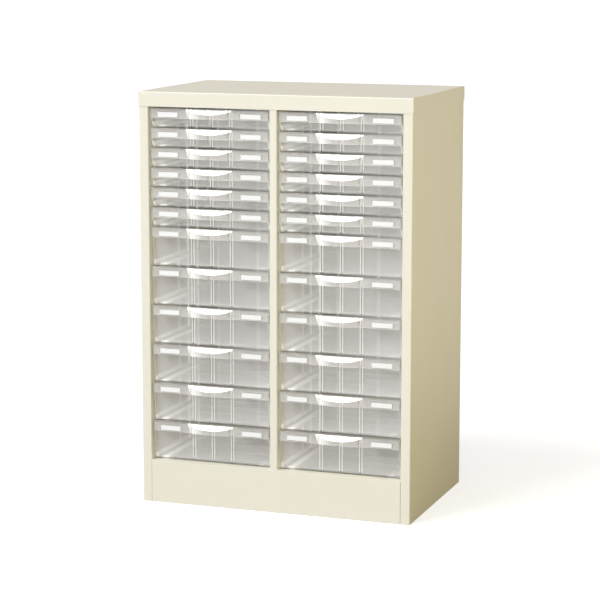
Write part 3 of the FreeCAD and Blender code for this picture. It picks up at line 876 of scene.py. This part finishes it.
# %% [markdown]
# ## Finishes on the fixed pieces
#
# The sheet-metal pieces and the cards already have their right shapes, so they keep them and get a finish.

# %% Assign finishes
for name, node in fixed_nodes.items():
    if name.startswith("tray_"):
        continue
    finish = card if name.startswith("label_cards") else paint
    node.data.materials.clear()
    node.data.materials.append(finish)
print("fixed pieces finished:", sum(not name.startswith("tray_") for name in fixed_nodes))

# %% [markdown]
# ## Floor and light
#
# The floor is plain and pale. The light is soft. One large softbox stands high at the front left, where the
# pulls' sloping facets mirror it; with some haze and a painted highlight of their own, that turns them white. The
# sky is brightest low at the front left and falls to a dim warm tone high behind the cabinet on its right. A weak
# warm lamp out on the right gives that side its deeper ivory. The camera sees sky and floor as plain white, with
# only a faint shadow. To the cabinet, the sky's light is uneven and the floor's is darker and warmer, with painted
# shade near the cabinet, so that its sides keep their shape. In a studio, this is a white sweep with one lamp on
# each side.

# %% Floor
FLOOR_RADIUS = 60.0
FLOOR_DROP = 0.0006
FLOOR_SEEN = (0.50, 0.51, 0.52, 1)
FLOOR_FLECK = (0.53, 0.54, 0.55, 1)
# Painted shade in the bounce: darker and warmer near the cabinet, paler far off.
FLOOR_NEAR_PAINTED_SHADE = (0.30, 0.26, 0.21, 1)
FLOOR_FAR = (0.61, 0.58, 0.54, 1)
NEAR_REACH = 0.6
FAR_REACH = 2.2
FLOOR_LIFT = 0.64


def disc(radius, level, rings=24, spokes=96):
    """Rings of points: a point's place is its ring's radius times the cosine and sine of its spoke's angle."""
    ring = np.linspace(0, radius, rings)[:, None]
    angle = np.linspace(0, 2 * math.pi, spokes, endpoint=False)[None, :]
    return np.stack(np.broadcast_arrays(ring * np.cos(angle), ring * np.sin(angle), level), -1)


def make_floor():
    """A wide disc that looks white to the camera and gives the cabinet a darker, warmer bounce."""
    points = disc(FLOOR_RADIUS, -FLOOR_DROP)
    mesh = bpy.data.meshes.new("floor")
    mesh.from_pydata(points.reshape(-1, 3).tolist(), [], grid_faces(*points.shape[:2]).tolist())
    weld(mesh)
    floor = bpy.data.objects.new("floor", mesh)
    bpy.context.scene.collection.objects.link(floor)
    material, tree, shader = new_material("pale_floor")
    fleck = noise(tree, object_place(tree), 30.0, detail=2.0)
    seen = mixed(tree, fleck, FLOOR_SEEN, FLOOR_FLECK)
    away = add_node(tree, "ShaderNodeVectorMath", {"operation": "LENGTH"}, input_0=object_place(tree))
    distant = remap(tree, away.outputs["Value"], NEAR_REACH, FAR_REACH, 0.0, 1.0)
    bounce = mixed(tree, distant, FLOOR_NEAR_PAINTED_SHADE, FLOOR_FAR)
    direct = add_node(tree, "ShaderNodeLightPath").outputs["Is Camera Ray"]
    tree.links.new(mixed(tree, direct, bounce, seen), shader.inputs["Base Color"])
    tree.links.new(mixed(tree, direct, (0, 0, 0, 1), (1, 1, 1, 1)), shader.inputs["Emission Color"])
    shader.inputs["Emission Strength"].default_value = FLOOR_LIFT
    shader.inputs["Roughness"].default_value = 0.9
    mesh.materials.append(material)


make_floor()
print("floor radius, m:", FLOOR_RADIUS)

# %% Sky
SKY_SEEN = (1.0, 1.0, 1.0, 1)
SKY_BRIGHT = (1.38, 1.42, 1.45, 1)
SKY_DIM = (0.12, 0.07, 0.02, 1)
SKY_AXIS = Vector((-0.45, -0.74, -0.50))
SKY_LEAST = -0.9
SKY_MOST = 0.6


def make_sky():
    """Bright where the direction agrees with the axis, dim where it opposes it; plain white to the camera."""
    world = bpy.data.worlds.new("sky")
    bpy.context.scene.world = world
    world.use_nodes = True
    tree = world.node_tree
    background = next(node for node in tree.nodes if node.type == "BACKGROUND")
    towards = add_node(tree, "ShaderNodeTexCoord").outputs["Generated"]
    agreement = add_node(tree, "ShaderNodeVectorMath", {"operation": "DOT_PRODUCT"},
                         input_0=towards, input_1=SKY_AXIS).outputs["Value"]
    shade = mixed(tree, remap(tree, agreement, SKY_LEAST, SKY_MOST, 0.0, 1.0), SKY_DIM, SKY_BRIGHT)
    direct = add_node(tree, "ShaderNodeLightPath").outputs["Is Camera Ray"]
    tree.links.new(mixed(tree, direct, shade, SKY_SEEN), background.inputs["Color"])


make_sky()
print("sky axis:", [round(share, 2) for share in SKY_AXIS])

# %% Softbox
BOX_AZIMUTH = -36
BOX_ELEVATION = 52
BOX_STRENGTH = 1.64
BOX_WIDTH = 24


def add_softbox(name, azimuth, elevation, strength, width, colour):
    """A round soft lamp far away. Azimuth 0 stands in front of the cabinet and grows to its right; the width is
    the angle that the lamp fills as seen from the cabinet, so a wider lamp gives softer shadows."""
    data = bpy.data.lights.new(name, "SUN")
    data.energy = strength
    data.angle = math.radians(width)
    data.color = colour
    lamp = bpy.data.objects.new(name, data)
    turn, up = math.radians(azimuth), math.radians(elevation)
    towards = Vector((math.sin(turn) * math.cos(up), -math.cos(turn) * math.cos(up), math.sin(up)))
    lamp.rotation_euler = towards.to_track_quat("Z", "Y").to_euler()
    bpy.context.scene.collection.objects.link(lamp)


add_softbox("softbox", BOX_AZIMUTH, BOX_ELEVATION, BOX_STRENGTH, BOX_WIDTH, (1, 1, 1))
print("softbox: azimuth", BOX_AZIMUTH, "elevation", BOX_ELEVATION, "width", BOX_WIDTH)

# %% Side lamp
SIDE_PLACE = Vector((1.9, -0.4, 0.65))
SIDE_AIM = Vector((0.3, 0.0, 0.5))
SIDE_POWER = 7.0
SIDE_SIZE = 0.8
SIDE_COLOUR = (1.0, 0.86, 0.30)


def add_side_lamp():
    """A warm square lamp out on the right, nearer the front than the back, so its light fades backwards."""
    data = bpy.data.lights.new("side_lamp", "AREA")
    data.size = SIDE_SIZE
    data.energy = SIDE_POWER
    data.color = SIDE_COLOUR
    lamp = bpy.data.objects.new("side_lamp", data)
    lamp.location = SIDE_PLACE
    lamp.rotation_euler = (SIDE_PLACE - SIDE_AIM).to_track_quat("Z", "Y").to_euler()
    lamp.visible_camera = False
    bpy.context.scene.collection.objects.link(lamp)


add_side_lamp()
print("side lamp's distance, m:", round((SIDE_PLACE - SIDE_AIM).length, 2))

# %% Colour
bpy.context.scene.view_settings.view_transform = "Standard"
print("view transform:", bpy.context.scene.view_settings.view_transform)
